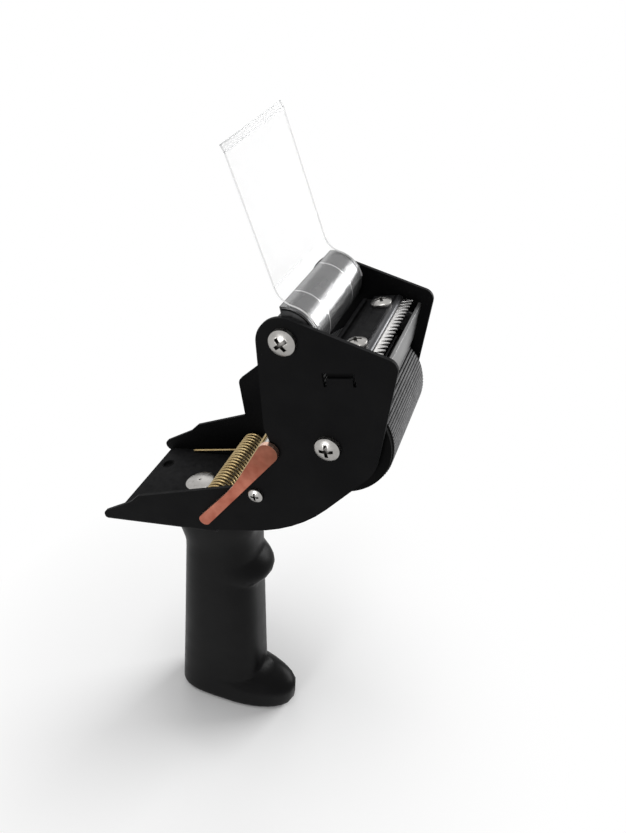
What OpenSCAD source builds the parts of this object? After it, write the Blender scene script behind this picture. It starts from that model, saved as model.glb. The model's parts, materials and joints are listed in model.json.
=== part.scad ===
// Hand-held packing tape dispenser: folded steel frame on a moulded pistol grip,
// with a ribbed front roller, a serrated blade, a clear wiper flap and a sprung brake lever.
// X points forward, Y from the lever side to the closed side, Z up.
// The origin is the centre of the grip's base.

/* [Tape and frame] */
// Width of the tape
tape_w = 48; // [36:1:75]
// Room at each side of the tape
tape_clear = 2.2; // [1.6:0.1:4]
// Thickness of the frame's sheet
sheet_t = 1.5; // [1.2:0.1:2.2]
// Height of the floor plate's underside above the base
frame_z = 146; // [140:0.5:160]
// Rise of the floor plate towards the front, in degrees
floor_tilt = 10.1; // [8:0.1:12]
// Reach of the floor plate behind the origin
floor_rear = 42.2; // [39:0.1:50]
// Reach of the floor plate in front of the origin
floor_front = 13; // [12:0.5:16]
// Outer radius of the fold between floor and sides
fold_r = 2.5; // [2.3:0.1:3.5]
// Rise of the side flanges' top edge, in degrees
flange_rise = 24.8; // [22:0.2:27]
// Height of that top edge above the underside, at the origin
flange_h = 22.8; // [20:0.1:25]
// Drop of the flanges' rear corner
flange_step = 2.5; // [1.5:0.1:3.5]
// Distance of that step behind the origin
step_back = 22.5; // [18:0.5:26]
// Corner radius of the flanges' tips
tip_r = 3; // [2:0.1:3.4]
// Diameter of the plug in the floor
plug_d = 6; // [4:0.1:7]
// Distance of that plug behind the origin
plug_back = 34; // [32:0.1:36]
// Sideways place of that plug
plug_y = 13.3; // [0:0.1:18]

/* [Side plates] */
// Place of the front top corner, forward
corner_x = 78.9; // [78:0.1:84]
// Place of the front top corner, up from the frame's underside
corner_z = 94.4; // [91:0.1:98]
// Radius of the front top corner
corner_r = 4; // [2:0.2:6]
// Radius of the plate round the drum axle
drum_lug_r = 9.8; // [8.5:0.1:11.5]
// Drop of that plate's round end below the drum axle
drum_lug_drop = 1.8; // [0.5:0.1:2.5]
// Radius of the plate round the roller axle
roller_lug_r = 17.9; // [16:0.1:20]
// Radius of the long arc in which the lower edge rises to the roller
heel_r = 62; // [56:1:70]
// Place of that arc along the floor
heel_s = 23.8; // [22:0.1:26]
// Height of that arc's lowest point above the floor's underside
heel_rise = 4; // [3.5:0.1:5]
// Radius of the brake bar's notch
notch_r = 5; // [4:0.1:6]
// Depth of the notch past the brake bar
notch_past = 3.1; // [2.4:0.1:4]
// Drop of the notch's middle below the brake bar
notch_low = 2.7; // [1.5:0.1:3.5]
// Height of the plate's corner over the notch, above the brake bar
notch_top = 8.8; // [7.5:0.1:10]
// Radius of that corner
neck_r = 2.5; // [1.5:0.1:3.5]
// Radius where the notch runs out into the flange
foot_r = 6; // [4:0.5:9]
// Place of that radius along the flange's top edge
foot_s = 28.9; // [26:0.1:32]
// Drop of the flange's top edge at that radius
foot_drop = 2.6; // [1.5:0.1:3]
// Height of the closed side's rear ear
ear_h = 16.2; // [12:0.1:20]
// Radius of that ear's corner
ear_r = 4; // [2.5:0.5:6]
// Place of that ear's rear edge, forward
ear_x = 1; // [0:0.1:3]
// Slant of that ear's rear edge
ear_slant = 2.5; // [0:0.1:3.5]
// Drop from the drum axle to the bend in the closed side's rear edge
neck_drop = 20; // [16:0.5:24]

/* [Grip] */
// Distance from the origin to the grip's back, at the base
grip_rear = 32.3; // [30:0.1:36]
// Forward lean of the grip's back, in degrees
rear_lean = 7.7; // [6:0.1:9]
// Distance from the origin to the grip's front, at the base
grip_front = 16.2; // [13:0.1:18]
// Forward lean of the grip's front, in degrees
front_lean = 1.3; // [0:0.1:4]
// Half thickness of the grip
grip_half = 14.2; // [13:0.1:17]
// Flare of the base at each side
base_flare = 0.3; // [0:0.1:2]
// Reach of the toe past the grip's front
toe_reach = 18.6; // [12:0.1:20]
// Height of the toe's foremost point
toe_mid = 12.9; // [9:0.1:14]
// Roundness of the toe's profile, less is fuller
toe_power = 0.85; // [0.7:0.05:1.4]
// Half width over which the toe fades out at the grip's sides
toe_wide = 15.9; // [15.2:0.1:19]
// Draw-in of the toe's foot, none at 0
toe_tuck = 0.3; // [0.1:0.01:0.4]
// Height where the toe meets the grip
toe_h = 23.4; // [20:0.1:30]
// Reach of the finger bump past the grip's front
bump_reach = 6.5; // [3:0.1:8]
// Height of the finger bump's middle above the base
bump_z = 104.5; // [94:0.1:108]
// Half height of the finger bump
bump_half = 9.9; // [7:0.1:12]
// Roundness of the finger bump's profile, less is fuller
bump_power = 1.2; // [0.6:0.05:1.6]
// Half width over which the bump fades out at the grip's sides
bump_wide = 16; // [15:0.1:18]
// Reach of the collar under the frame, past the grip
collar_out = 5.4; // [3:0.1:7]
// Height of the collar's flare
collar_h = 30; // [24:1:40]
// Rounding of the base's edge
base_r = 3.5; // [2:0.1:5]

/* [Grip bolts] */
// Diameter of the grip bolts
bolt_d = 6; // [5:0.5:8]
// Diameter of their flat heads
bolt_head_d = 13.4; // [11:0.1:15]
// Height of their flat heads
bolt_head_h = 1.8; // [1.2:0.1:2.4]
// Diameter of the dimple in their heads
bolt_dimple_d = 1.6; // [0.8:0.1:2.4]
// Length of the bolts in the grip
bolt_len = 26; // [18:1:34]
// Place of the rear bolt along the floor
bolt_rear = -9.7; // [-12:0.1:-8.5]
// Sideways place of the bolts
bolt_y = 1.8; // [-3:0.1:3]
// Place of the front bolt along the floor
bolt_front = 6.5; // [6:0.1:8]

/* [Axles and screws] */
// Diameter of the roller and drum axles
axle_d = 7; // [6.6:0.1:9]
// Diameter of the axle screws
screw_d = 5; // [4:0.5:5.2]
// Diameter of the axle screws' heads
screw_head_d = 9.2; // [8:0.1:11]
// Height of the axle screws' heads
screw_head_h = 3.2; // [2:0.1:4]
// Length of the screws in the axles
screw_len = 12; // [8:1:16]
// Length of the heads' cross recess, as a share of the head
recess_share = 0.56; // [0.4:0.02:0.62]
// Running clearance on a radius
run_clear = 0.05; // [0.02:0.01:0.1]
// Seat clearance on a radius
seat_clear = 0.05; // [0.02:0.01:0.1]
// Gap at each end of a turning piece
end_gap = 0.3; // [0.2:0.05:0.5]
// Thickness of the spacer washers
washer_t = 0.8; // [0.5:0.1:1.2]
// Diameter of the spacer washers
washer_d = 14; // [12:0.5:18]

/* [Front roller] */
// Place of the roller axle, forward
roller_x = 60.9; // [60:0.1:62.5]
// Place of the roller axle, up from the frame's underside
roller_z = 60; // [58.5:0.1:61]
// Diameter over the ribs
roller_d = 44.4; // [41:0.2:44.8]
// Thickness of the rubber
rubber_t = 3.4; // [2.5:0.1:6]
// Depth of the grooves between the ribs
rib_depth = 0.7; // [0.3:0.1:1.2]
// Number of ribs
rib_count = 104; // [60:1:120]
// Thickness of the core's end discs
disc_t = 2.2; // [1.5:0.1:4]
// Step from the core's end discs down from the ribs
disc_step = 0.6; // [0.2:0.1:1.5]
// Diameter of the core's hub
hub_d = 15; // [13:0.5:20]
// Wall of the core's drum
core_wall = 2; // [1.6:0.1:4]
// Thickness of the core's middle web
web_t = 5; // [3:0.5:14]

/* [Flap and drum] */
// Place of the drum axle, forward
drum_x = 45.3; // [44.5:0.1:46.5]
// Place of the drum axle, up from the frame's underside
drum_z = 98.5; // [97:0.1:101]
// Diameter of the drum
drum_d = 21.4; // [20:0.2:22.6]
// Wall of the drum
drum_wall = 1.2; // [0.8:0.1:2]
// Place on the drum where its hood ends at the front, in degrees
hood_angle = -40; // [-60:1:-10]
// Length of the hubs in the drum's ends
bush_len = 9; // [5:0.5:14]
// Diameter of those hubs
bush_d = 13; // [11.5:0.1:14]
// Thickness of the drum's end cheeks
cheek_t = 2; // [1.2:0.1:4]
// Thickness of the clear flap
flap_t = 0.6; // [0.4:0.1:0.9]
// Height of the flap above the drum
flap_h = 47.5; // [35:0.5:60]
// Lean of the flap, from forward, in degrees
flap_angle = 107.8; // [95:0.1:118]
// Place on the drum where the flap rises, in degrees
root_angle = 101.5; // [96:0.5:106]
// Place on the drum where the flap's saddle ends, in degrees
saddle_angle = 14; // [0:1:40]
// Length of the lip along the flap's top
lip_len = 2.6; // [1.5:0.1:4]
// Bend of that lip, in degrees
lip_bend = 31; // [15:1:45]

/* [Blade] */
// Place of the blade bracket's middle, forward
blade_x = 64.1; // [63.5:0.1:64.6]
// Place of the blade bracket's middle, up from the frame's underside
blade_z = 87.45; // [86.9:0.05:88]
// Rise of the blade towards the front, in degrees
blade_tilt = 11.5; // [9:0.5:13]
// Height of the bracket's deck above its tabs
deck_rise = 4; // [3.2:0.1:4.6]
// Thickness of the bracket
bracket_t = 1.5; // [1.2:0.1:2]
// Reach of the bracket behind its middle
bracket_rear = 6; // [5.5:0.1:7]
// Reach of the bracket in front of its middle
bracket_front = 9; // [8:0.1:10]
// Width of the bracket's end tabs
tab_w = 9; // [8:0.2:10]
// Room above the end tabs in their slots
slot_room = 2.1; // [1:0.1:2.5]
// Width of the relief cuts beside the end tabs
relief_w = 1.1; // [0.6:0.1:1.4]
// Drop of those cuts below the end tabs
relief_drop = 1.5; // [0.8:0.1:2]
// Thickness of the blade
blade_t = 0.7; // [0.5:0.1:1.2]
// Distance from the bracket's middle to the tooth tips
tip_reach = 13.4; // [12.4:0.1:13.6]
// Length of the teeth
tooth_len = 4; // [2.5:0.1:5]
// Pitch of the teeth
tooth_pitch = 2.6; // [1.8:0.1:3.2]
// Width of the clamp bar
clamp_w = 7.8; // [7.4:0.1:8.2]
// Width of the strip between clamp bar and teeth
strip_w = 3; // [2.4:0.1:3.2]
// Thickness of the clamp bar and that strip
clamp_t = 1.4; // [1:0.1:2]
// Distance of the blade screws in front of the bracket's middle
blade_screw_u = 3.4; // [2.8:0.1:3.6]
// Distance between the blade screws
blade_screw_gap = 32; // [24:1:36]
// Diameter of the blade screws
blade_screw_d = 4; // [3:0.5:4]
// Diameter of the blade screws' heads
blade_head_d = 7.6; // [6.5:0.1:8.4]
// Height of the blade screws' heads
blade_head_h = 2.3; // [1.6:0.1:3]
// Width across the flats of the blade nuts
nut_w = 7; // [6:0.1:8]
// Thickness of the blade nuts
nut_t = 2.4; // [2:0.1:3]

/* [Front guard] */
// Thickness of the guard plate
guard_t = 1.2; // [0.8:0.1:2]
// Distance of the guard behind the plates' front edge
guard_in = 4; // [3.4:0.1:4.4]
// Height of the guard's top, up from the frame's underside
guard_top = 92.5; // [90:0.1:94]
// Gap between guard and roller
guard_gap = 0.8; // [0.4:0.1:1.5]
// Length of the guard's end ears
guard_ear = 6; // [4:0.5:7]

/* [Brake] */
// Place of the brake shaft, forward
pivot_x = 9.8; // [8.6:0.1:10.2]
// Place of the brake shaft, up from the frame's underside
pivot_z = 11.4; // [11:0.1:12.4]
// Diameter of the brake shaft
shaft_d = 3.6; // [3:0.1:3.8]
// Width of the lever at the shaft
lever_w = 4.8; // [4.6:0.1:6]
// Width of the lever at the brake bar
lever_top_w = 7.8; // [6:0.1:9]
// Shift of the lever's upper end towards the front
lever_shift = 1.6; // [0:0.1:2]
// Radius of the hollow in the lever's rear edge
hollow_r = 60; // [45:1:90]
// Distance of that hollow from the line between shaft and brake bar
hollow_in = 0.2; // [-0.4:0.1:1.5]
// Thickness of the lever
lever_t = 2; // [1.5:0.1:3]
// Gap between lever and side plate
lever_gap = 0.5; // [0.3:0.1:1]
// Diameter of the brake bar
bar_d = 3; // [2:0.1:4]
// Gap between brake bar and roller
brake_gap = 0.5; // [0.3:0.05:0.8]
// Direction from the roller axle to the brake bar, in degrees
brake_angle = 194.6; // [191:0.2:199]
// Gap between the brake bar's end and the closed side
bar_end_gap = 1; // [0.5:0.1:3]
// Diameter of the shaft's retaining ring
ring_d = 9; // [8:0.5:12]
// Thickness of the shaft's retaining ring
ring_t = 1; // [0.8:0.1:1.5]

/* [Spring] */
// Diameter of the spring wire
wire_d = 1.3; // [0.8:0.1:1.4]
// Mean diameter of the spring's curls
curl_d = 9.2; // [9:0.1:10]
// Forward shift of the curls on the shaft
curl_dx = -1.7; // [-1.7:0.1:0]
// Upward shift of the curls on the shaft
curl_dz = 0.5; // [0:0.1:0.5]
// Number of curls
curl_count = 22; // [16:1:22]
// Gap from the spring's floor end to the closed side
spring_gap = 1.4; // [1:0.1:4]
// Gap from the spring's lever end to the lever side
lever_end_gap = 7; // [1.4:0.1:9]
// Reach of the floor leg behind the brake shaft
leg_reach = 34.8; // [24:0.1:36]
// Gap between the leg's tip and the floor
leg_gap = 0.3; // [0.2:0.05:0.5]
// Gap between the spring's hook and the brake bar
hook_gap = 0.35; // [0.3:0.05:0.6]
// Turn of the hook round the brake bar, in degrees
hook_turn = 25; // [10:1:40]

/* [Tie rod] */
// Place of the tie rod, forward
tie_x = 32.3; // [31.5:0.1:34.4]
// Place of the tie rod, up from the frame's underside
tie_z = 29.8; // [28:0.1:31]
// Diameter of the tie rod
tie_d = 5; // [4.4:0.1:5.2]
// Diameter of its screws
tie_screw_d = 3; // [2.5:0.1:3.4]
// Diameter of its screws' heads
tie_head_d = 6; // [5:0.1:7]
// Height of its screws' heads
tie_head_h = 2; // [1.4:0.1:2.6]
// Length of its screws in the rod
tie_screw_len = 8; // [5:0.5:12]

/* [Hidden] */

$fn = 64;
// Largest turn between two points of an outline's arc, in degrees
arc_step = 6;
// Overlap used where one cut has to pass right through
eps = 0.5;
// Far more than any size here, for cutting planes
big = 400;

black_paint = [0.07, 0.07, 0.075];
black_plastic = [0.06, 0.06, 0.065];
steel = [0.72, 0.72, 0.74];
grey_steel = [0.45, 0.46, 0.47];
rubber = [0.3, 0.3, 0.31];
copper = [0.68, 0.42, 0.33];
brass = [0.75, 0.66, 0.42];
clear = [0.9, 0.94, 0.96, 0.35];

inner_w = tape_w + 2 * tape_clear;
outer_w = inner_w + 2 * sheet_t;
turn_w = inner_w - 2 * (washer_t + end_gap);

drum = [drum_x, drum_z];
roller = [roller_x, roller_z];
pivot = [pivot_x, pivot_z];
tie = [tie_x, tie_z];
roller_r = roller_d / 2;
drum_r = drum_d / 2;
flap_r = drum_r + seat_clear;
bar_off = roller_r + bar_d / 2 + brake_gap;
bar = roller + bar_off * dir(brake_angle);

// Unit vector at an angle, and the one square to it on the left
function dir(a) = [cos(a), sin(a)];
function left(a) = [-sin(a), cos(a)];

// Point at a distance along the floor's underside and a height square to it
function floor_pt(s, h) = s * dir(floor_tilt) + h * left(floor_tilt);

// Point at a distance along the flanges' top edge and a height square to it
function flange_pt(s, h) = [0, flange_h] + s * dir(flange_rise) + h * left(flange_rise);

// Heading of the straight edge that leaves circle a and meets circle b;
// a circle is [x, z, r], with r below zero where the outline turns to the right
function heading(a, b) =
  let (d = [b.x - a.x, b.y - a.y])
  atan2(d.y, d.x) - asin((b[2] - a[2]) / norm(d));

// Points of the arc round circle c between two headings
function arc_pts(c, h0, h1) =
  let (
    raw = (h1 - h0) - 360 * floor((h1 - h0) / 360),
    turn = c[2] > 0 ? (raw > 350 ? 0 : raw) : (raw < 10 ? 0 : raw - 360),
    n = max(1, ceil(abs(turn) / arc_step))
  )
  [for (k = [0:n]) [c.x, c.y] - c[2] * left(h0 + turn * k / n)];

// Outline of straight edges and arcs that runs round a list of circles
function belt(circles) =
  let (n = len(circles))
  [
    for (i = [0:n - 1])
      let (
        h0 = heading(circles[(i + n - 1) % n], circles[i]),
        h1 = heading(circles[i], circles[(i + 1) % n])
      )
      each arc_pts(circles[i], h0, h1)
  ];

// Smooth step from 0 to 1 between a and b
function ramp(x, a, b) = let (t = min(1, max(0, (x - a) / (b - a)))) t * t * (3 - 2 * t);

// Place at the height of the frame's underside
module lift() {
  translate([0, 0, frame_z]) children();
}

// Flat piece of a side outline, from y to y + t
module slab(y, t) {
  translate([0, y + t, 0]) rotate([90, 0, 0]) linear_extrude(t) children();
}

// Rod of radius r along Y at point p, from y to y + l
module rod(p, r, y, l) {
  translate([p.x, y, p.y]) rotate([-90, 0, 0]) cylinder(r = r, h = l);
}

// Ring along Y at point p
module ring(p, r_out, r_in, y, l) {
  difference() {
    rod(p, r_out, y, l);
    rod(p, r_in, y - eps, l + 2 * eps);
  }
}

// Place on both sides, mirrored
module both_sides() {
  children();
  mirror([0, 1, 0]) children();
}

// Place on the blade's own slope, at the bracket's middle
module on_blade() {
  lift() translate([blade_x, 0, blade_z]) rotate([0, -blade_tilt, 0]) children();
}

// Place on the bracket's deck, at its middle
module on_deck() {
  on_blade() translate([0, 0, deck_rise]) children();
}

// Place on the floor's slope, on its underside
module on_floor() {
  lift() rotate([0, -floor_tilt, 0]) children();
}

// Turns at which the screws' recesses came to rest, in degrees
tie_turn = 5;
roller_turn = 8;
drum_turn = 40;
blade_turn = 25;

// Cross recess, turned by a, in the top of a head of diameter d and height h
module cross_recess(d, h, a) {
  arm = recess_share * d;
  for (turn = [a, a + 90]) rotate(turn) translate([-arm / 2, -arm / 8, h / 2]) cube([arm, arm / 4, h]);
}

// Share of a screw head's height that is domed
head_dome = 0.45;

// Rounded screw head of height h that stands on the ground, its recess turned by a
module pan_head(d, h, a) {
  cap = h * head_dome;
  difference() {
    rotate_extrude() union() {
      square([d / 2, h - cap]);
      translate([0, h - cap]) scale_cap(d / 2, cap);
    }
    cross_recess(d, h, a);
  }
}

// Circle segment of half width a and height b that tops a head
module scale_cap(a, b) {
  r = (a * a + b * b) / (2 * b);
  intersection() {
    translate([0, b - r]) circle(r = r);
    square([a, b]);
  }
}

// Axle screw on the lever side: head outside, shank into the axle
module axle_screw(p, d, head_d, head_h, len_in, a) {
  translate([p.x, -outer_w / 2, p.y]) rotate([90, 0, 0]) pan_head(head_d, head_h, a);
  rod(p, d / 2, -outer_w / 2 - head_h / 4, head_h / 4 + sheet_t + len_in);
}

// Circles that the side outlines share, from the rear tip along the bottom and up the front
tip_back = floor_rear - tip_r;
tip_circle = concat(floor_pt(-tip_back, tip_r), tip_r);
// Relief where the fold ends, as high as the fold is round, a little past the floor's front edge
fold_relief_r = 0.9;
fold_end = floor_front + 0.4;
fold_end_circle = concat(floor_pt(fold_end - fold_relief_r, fold_relief_r), fold_relief_r);
fold_relief_circle = concat(floor_pt(fold_end + fold_relief_r, fold_r - fold_relief_r), -fold_relief_r);
heel_circle = concat(floor_pt(heel_s, heel_r + heel_rise), heel_r);
roller_circle = concat(roller, roller_lug_r);
corner_circle = [corner_x, corner_z, corner_r];
drum_circle = [drum_x, drum_z - drum_lug_drop, drum_lug_r];
lower_front = [
  tip_circle, fold_end_circle, fold_relief_circle, heel_circle, roller_circle, corner_circle, drum_circle
];

// Circles of the step near the flanges' tips
step_r = 1.2;
// Length of the step's slope, as a multiple of its drop
step_slope = 2.6;
step_s = -step_back / cos(flange_rise);
step_circles = [
  concat(flange_pt(step_s, -step_r), step_r),
  concat(flange_pt(step_s - step_slope * flange_step, step_r - flange_step), -step_r)
];

// Circles of the brake bar's notch in the lever side
notch_circles = [
  [bar.x + notch_past - neck_r / 2, bar.y + notch_top, neck_r],
  [bar.x + notch_past - notch_r, bar.y - notch_low, -notch_r],
  concat(flange_pt(foot_s, foot_r - foot_drop), -foot_r)
];

// Circles of the closed side's neck and rear ear
ear_base_r = 1.5;
neck_bend_r = 6;
ear_foot = flange_pt((ear_x + ear_slant - ear_base_r) / cos(flange_rise), ear_base_r);
ear_circles = [
  [drum_x - drum_lug_r - neck_bend_r, drum_z - neck_drop, -neck_bend_r],
  [ear_x + ear_r, ear_foot.y + ear_h, ear_r],
  concat(ear_foot, -ear_base_r)
];

lever_side = belt(concat(lower_front, notch_circles, step_circles));
closed_side = belt(concat(lower_front, ear_circles, step_circles));

// Slot for the blade bracket's tab, with a relief cut at each end
module tab_slot() {
  slot_h = bracket_t + slot_room;
  on_blade() {
    translate([-tab_w / 2 - eps, -outer_w, -bracket_t / 2]) cube([tab_w + 2 * eps, 2 * outer_w, slot_h]);
    for (x = [-tab_w / 2 - relief_w, tab_w / 2 + seat_clear])
      translate([x, -outer_w, -bracket_t / 2 - relief_drop])
        cube([relief_w - seat_clear, 2 * outer_w, slot_h + relief_drop]);
  }
}

// Cut that rounds the outside of the fold between floor and side, and ends inside the relief
// Its circle reaches a little past both faces, so that it crosses them and doesn't only touch them
fold_past = 0.03;
module fold_cut() {
  run = big / 2 + fold_end + fold_relief_r / 2;
  on_floor() translate([-big / 2, -outer_w / 2, 0]) rotate([90, 0, 90]) linear_extrude(run)
    difference() {
      translate([-eps, -eps]) square(fold_r + eps);
      translate([fold_r, fold_r]) circle(r = fold_r + fold_past);
    }
}

module main_frame() {
  color(black_paint) difference() {
    union() {
      lift() slab(-outer_w / 2, sheet_t) polygon(lever_side);
      lift() slab(outer_w / 2 - sheet_t, sheet_t) polygon(closed_side);
      on_floor() translate([-floor_rear + tip_r, -inner_w / 2 - sheet_t / 2, 0])
        cube([floor_rear - tip_r + floor_front, inner_w + sheet_t, sheet_t]);
    }
    both_sides() fold_cut();
    tab_slot();
    lift() {
      rod(drum, screw_d / 2 + seat_clear, -outer_w, 2 * outer_w);
      rod(roller, screw_d / 2 + seat_clear, -outer_w, 2 * outer_w);
      rod(pivot, shaft_d / 2 + run_clear, -outer_w, 2 * outer_w);
      rod(tie, tie_screw_d / 2 + seat_clear, -outer_w, 2 * outer_w);
    }
    on_floor() {
      for (s = [bolt_rear, bolt_front])
        translate([s, bolt_y, -eps]) cylinder(r = bolt_d / 2 + seat_clear, h = sheet_t + 2 * eps);
      translate([-plug_back, plug_y, -eps]) cylinder(r = plug_d / 2, h = sheet_t + 2 * eps);
    }
  }
}

// Dished plug pushed into the floor's hole from below
plug_flange = 1.2;
// Shares of the plug's radius and height left by its dish
plug_rim = 0.8;
plug_dish = 0.3;
module floor_plug() {
  stem_r = plug_d / 2 - seat_clear;
  rim = stem_r * plug_rim;
  color(black_plastic) on_floor() translate([-plug_back, plug_y, 0]) rotate_extrude()
    polygon([[0, -plug_flange], [stem_r + plug_flange, -plug_flange], [stem_r + plug_flange, 0], [stem_r, 0],
      [stem_r, sheet_t], [rim, sheet_t], [rim * plug_rim, sheet_t * plug_dish], [0, sheet_t * plug_dish]]);
}

// Grip outline: front, back and half thickness at a height
collar_z = frame_z - collar_h;
function rounded_in(z) = z >= base_r ? 0 : base_r - sqrt(base_r * base_r - pow(base_r - z, 2));
// Round swelling that is 1 in the middle and fades out where norm([u, v]) is 1
function ball(u, v, power) = pow(max(0, 1 - u * u - v * v), power);
function toe_level(z) = z <= toe_mid ? toe_tuck * (1 - z / toe_mid) : (z - toe_mid) / (toe_h - toe_mid);
// Swell of the grip's front at height z and sideways place y
function front_swell(z, y) = toe_reach * ball(toe_level(z), y / toe_wide, toe_power)
  + bump_reach * ball((z - bump_z) / bump_half, y / bump_wide, bump_power);
function grip_x1(z) = grip_front + z * tan(front_lean)
  + collar_out * ramp(z, collar_z + collar_h / 3, frame_z) - rounded_in(z);
function grip_x0(z) = z * tan(rear_lean) - grip_rear - collar_out * ramp(z, collar_z, frame_z - collar_h / 4)
  + rounded_in(z);
function grip_y(z) = grip_half + base_flare * (1 - ramp(z, 0, toe_h))
  + collar_out / 2 * ramp(z, collar_z, frame_z) - rounded_in(z);

// Ring of the grip at a height, a rounded oblong with soft corners
grip_sides = 36;
grip_power = 2 / 3;
function soft(v) = sign(v) * pow(abs(v), grip_power);
function grip_ring(z) =
  let (x0 = grip_x0(z), x1 = grip_x1(z), b = grip_y(z))
  [
    for (k = [0:grip_sides - 1])
      let (
        a = 360 * k / grip_sides,
        y = b * soft(sin(a)),
        swell = cos(a) > 0 ? front_swell(z, y) : 0
      )
      [(x0 + x1) / 2 + (x1 - x0) / 2 * soft(cos(a)) + swell, y, z]
  ];

// Heights of the grip's rings, closer together at the base's edge, the toe and the bump
grip_top = frame_z + (grip_front + 3 * collar_out) * tan(floor_tilt);
ring_step = 4;
fine_step = 1.7;
function levels(a, b, step) = let (n = ceil((b - a) / step)) [for (k = [0:n - 1]) a + (b - a) * k / n];
grip_z = concat(
  [for (k = [0:3]) base_r * (1 - cos(22.5 * k))],
  levels(base_r, toe_h, fine_step),
  levels(toe_h, bump_z - bump_half, ring_step),
  levels(bump_z - bump_half, bump_z + bump_half, fine_step),
  levels(bump_z + bump_half, grip_top, ring_step),
  [grip_top]
);

// Skin over rings of points, closed at both ends
module skin(rings) {
  n = len(rings[0]);
  m = len(rings);
  points = [for (r = rings) each r];
  walls = [
    for (i = [0:m - 2], k = [0:n - 1])
      let (a = i * n + k, b = i * n + (k + 1) % n)
      each [[a, a + n, b], [b, a + n, b + n]]
  ];
  low_cap = [for (k = [1:n - 2]) [0, k, k + 1]];
  top = (m - 1) * n;
  top_cap = [for (k = [1:n - 2]) [top, top + k + 1, top + k]];
  polyhedron(points, concat(walls, low_cap, top_cap));
}

module handle_grip() {
  color(black_plastic) difference() {
    skin([for (z = grip_z) grip_ring(z)]);
    on_floor() translate([-big / 2, -big / 2, 0]) cube(big);
    on_floor() for (s = [bolt_rear, bolt_front])
      translate([s, bolt_y, -bolt_len]) cylinder(r = bolt_d / 2 + seat_clear, h = bolt_len + eps);
  }
}

// Flat round-headed bolts through the floor into the grip
module handle_bolts() {
  color(steel) on_floor() for (s = [bolt_rear, bolt_front])
    translate([s, bolt_y, sheet_t]) {
      rotate_extrude() difference() {
        union() {
          square([bolt_head_d / 2, bolt_head_h / 2]);
          translate([0, bolt_head_h / 2]) scale_cap(bolt_head_d / 2, bolt_head_h / 2);
        }
        polygon([[0, bolt_head_h / 2], [bolt_dimple_d / 2, bolt_head_h + eps], [0, bolt_head_h + eps]]);
      }
      translate([0, 0, -sheet_t - bolt_len + eps])
        cylinder(r = bolt_d / 2, h = sheet_t + bolt_len - eps + bolt_head_h / 4);
    }
}

// Spacer that ties the two sides together low in the neck
module tie_rod() {
  color(steel) lift() difference() {
    rod(tie, tie_d / 2, -inner_w / 2, inner_w);
    both_sides() rod(tie, tie_screw_d / 2 + seat_clear, -outer_w / 2, sheet_t + tie_screw_len + eps);
  }
}

module tie_screws() {
  color(steel) lift() both_sides()
    axle_screw(tie, tie_screw_d, tie_head_d, tie_head_h, tie_screw_len, tie_turn);
}

// Axle between the sides, drilled at both ends for its screws
module axle(p) {
  difference() {
    rod(p, axle_d / 2, -inner_w / 2, inner_w);
    both_sides() rod(p, screw_d / 2 + seat_clear, -outer_w / 2, sheet_t + screw_len + eps);
  }
}

// Pair of spacer washers on an axle
module spacers(p) {
  both_sides() ring(p, washer_d / 2, axle_d / 2 + seat_clear, -inner_w / 2, washer_t);
}

module front_roller_axle() {
  color(steel) lift() axle(roller);
}

// Spool that the rubber sits on, open at both ends round its hub
core_r = roller_r - rubber_t;
module front_roller_core() {
  color(black_plastic) lift() translate([roller.x, 0, roller.y]) rotate([90, 0, 0]) rotate_extrude() {
    pocket = (turn_w - web_t) / 2;
    difference() {
      union() {
        translate([0, -turn_w / 2]) square([core_r, turn_w]);
        for (y = [-turn_w / 2, turn_w / 2 - disc_t])
          translate([0, y]) square([roller_r - disc_step, disc_t]);
      }
      translate([0, -turn_w / 2 - eps]) square([axle_d / 2 + run_clear, turn_w + 2 * eps]);
      for (y = [-turn_w / 2 - eps, turn_w / 2 - pocket])
        translate([hub_d / 2, y]) square([core_r - core_wall - hub_d / 2, pocket + eps]);
    }
  }
}

// Rubber sleeve with ribs along its length
sleeve_w = turn_w - 2 * disc_t - 2 * seat_clear;
rib_step = 360 / rib_count;
// Half of a rib's land, as a share of the pitch
rib_land = 0.22;
rib_outline = [
  for (k = [0:rib_count - 1])
    each [
      roller_r * dir(rib_step * (k - rib_land)),
      roller_r * dir(rib_step * (k + rib_land)),
      (roller_r - rib_depth) * dir(rib_step * (k + 0.5))
    ]
];
module front_roller_sleeve() {
  color(rubber) lift() difference() {
    translate([roller.x, sleeve_w / 2, roller.y]) rotate([90, 0, 0]) linear_extrude(sleeve_w)
      polygon(rib_outline);
    rod(roller, core_r + seat_clear, -outer_w, 2 * outer_w);
  }
}

module front_roller_washers() {
  color(steel) lift() spacers(roller);
}

module front_axle_screws() {
  color(steel) lift() both_sides()
    axle_screw(roller, screw_d, screw_head_d, screw_head_h, screw_len, roller_turn);
}

module drum_axle() {
  color(steel) lift() axle(drum);
}

// Round slice of radius r over the drum's hood
module hood_slice(r) {
  wide = 2 * drum_r;
  intersection() {
    circle(r = r);
    polygon(concat([[0, 0]], [for (k = [0:6]) wide * dir(hood_angle + (root_angle - hood_angle) * k / 6)]));
  }
}

// Polished hood, open at the back, that carries the flap
module flap_drum() {
  color(steel) lift() translate([drum.x, 0, drum.y]) slab(-turn_w / 2, turn_w) difference() {
    hood_slice(drum_r);
    circle(r = drum_r - drum_wall);
  }
}

// End cheeks with hubs that hold the hood on its axle
module drum_bushes() {
  color(black_plastic) lift() both_sides() difference() {
    union() {
      rod(drum, bush_d / 2, -turn_w / 2, bush_len);
      translate([drum.x, 0, drum.y]) slab(-turn_w / 2, cheek_t) hood_slice(drum_r - drum_wall - seat_clear);
    }
    rod(drum, axle_d / 2 + run_clear, -outer_w, 2 * outer_w);
  }
}

module drum_washers() {
  color(steel) lift() spacers(drum);
}

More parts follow.
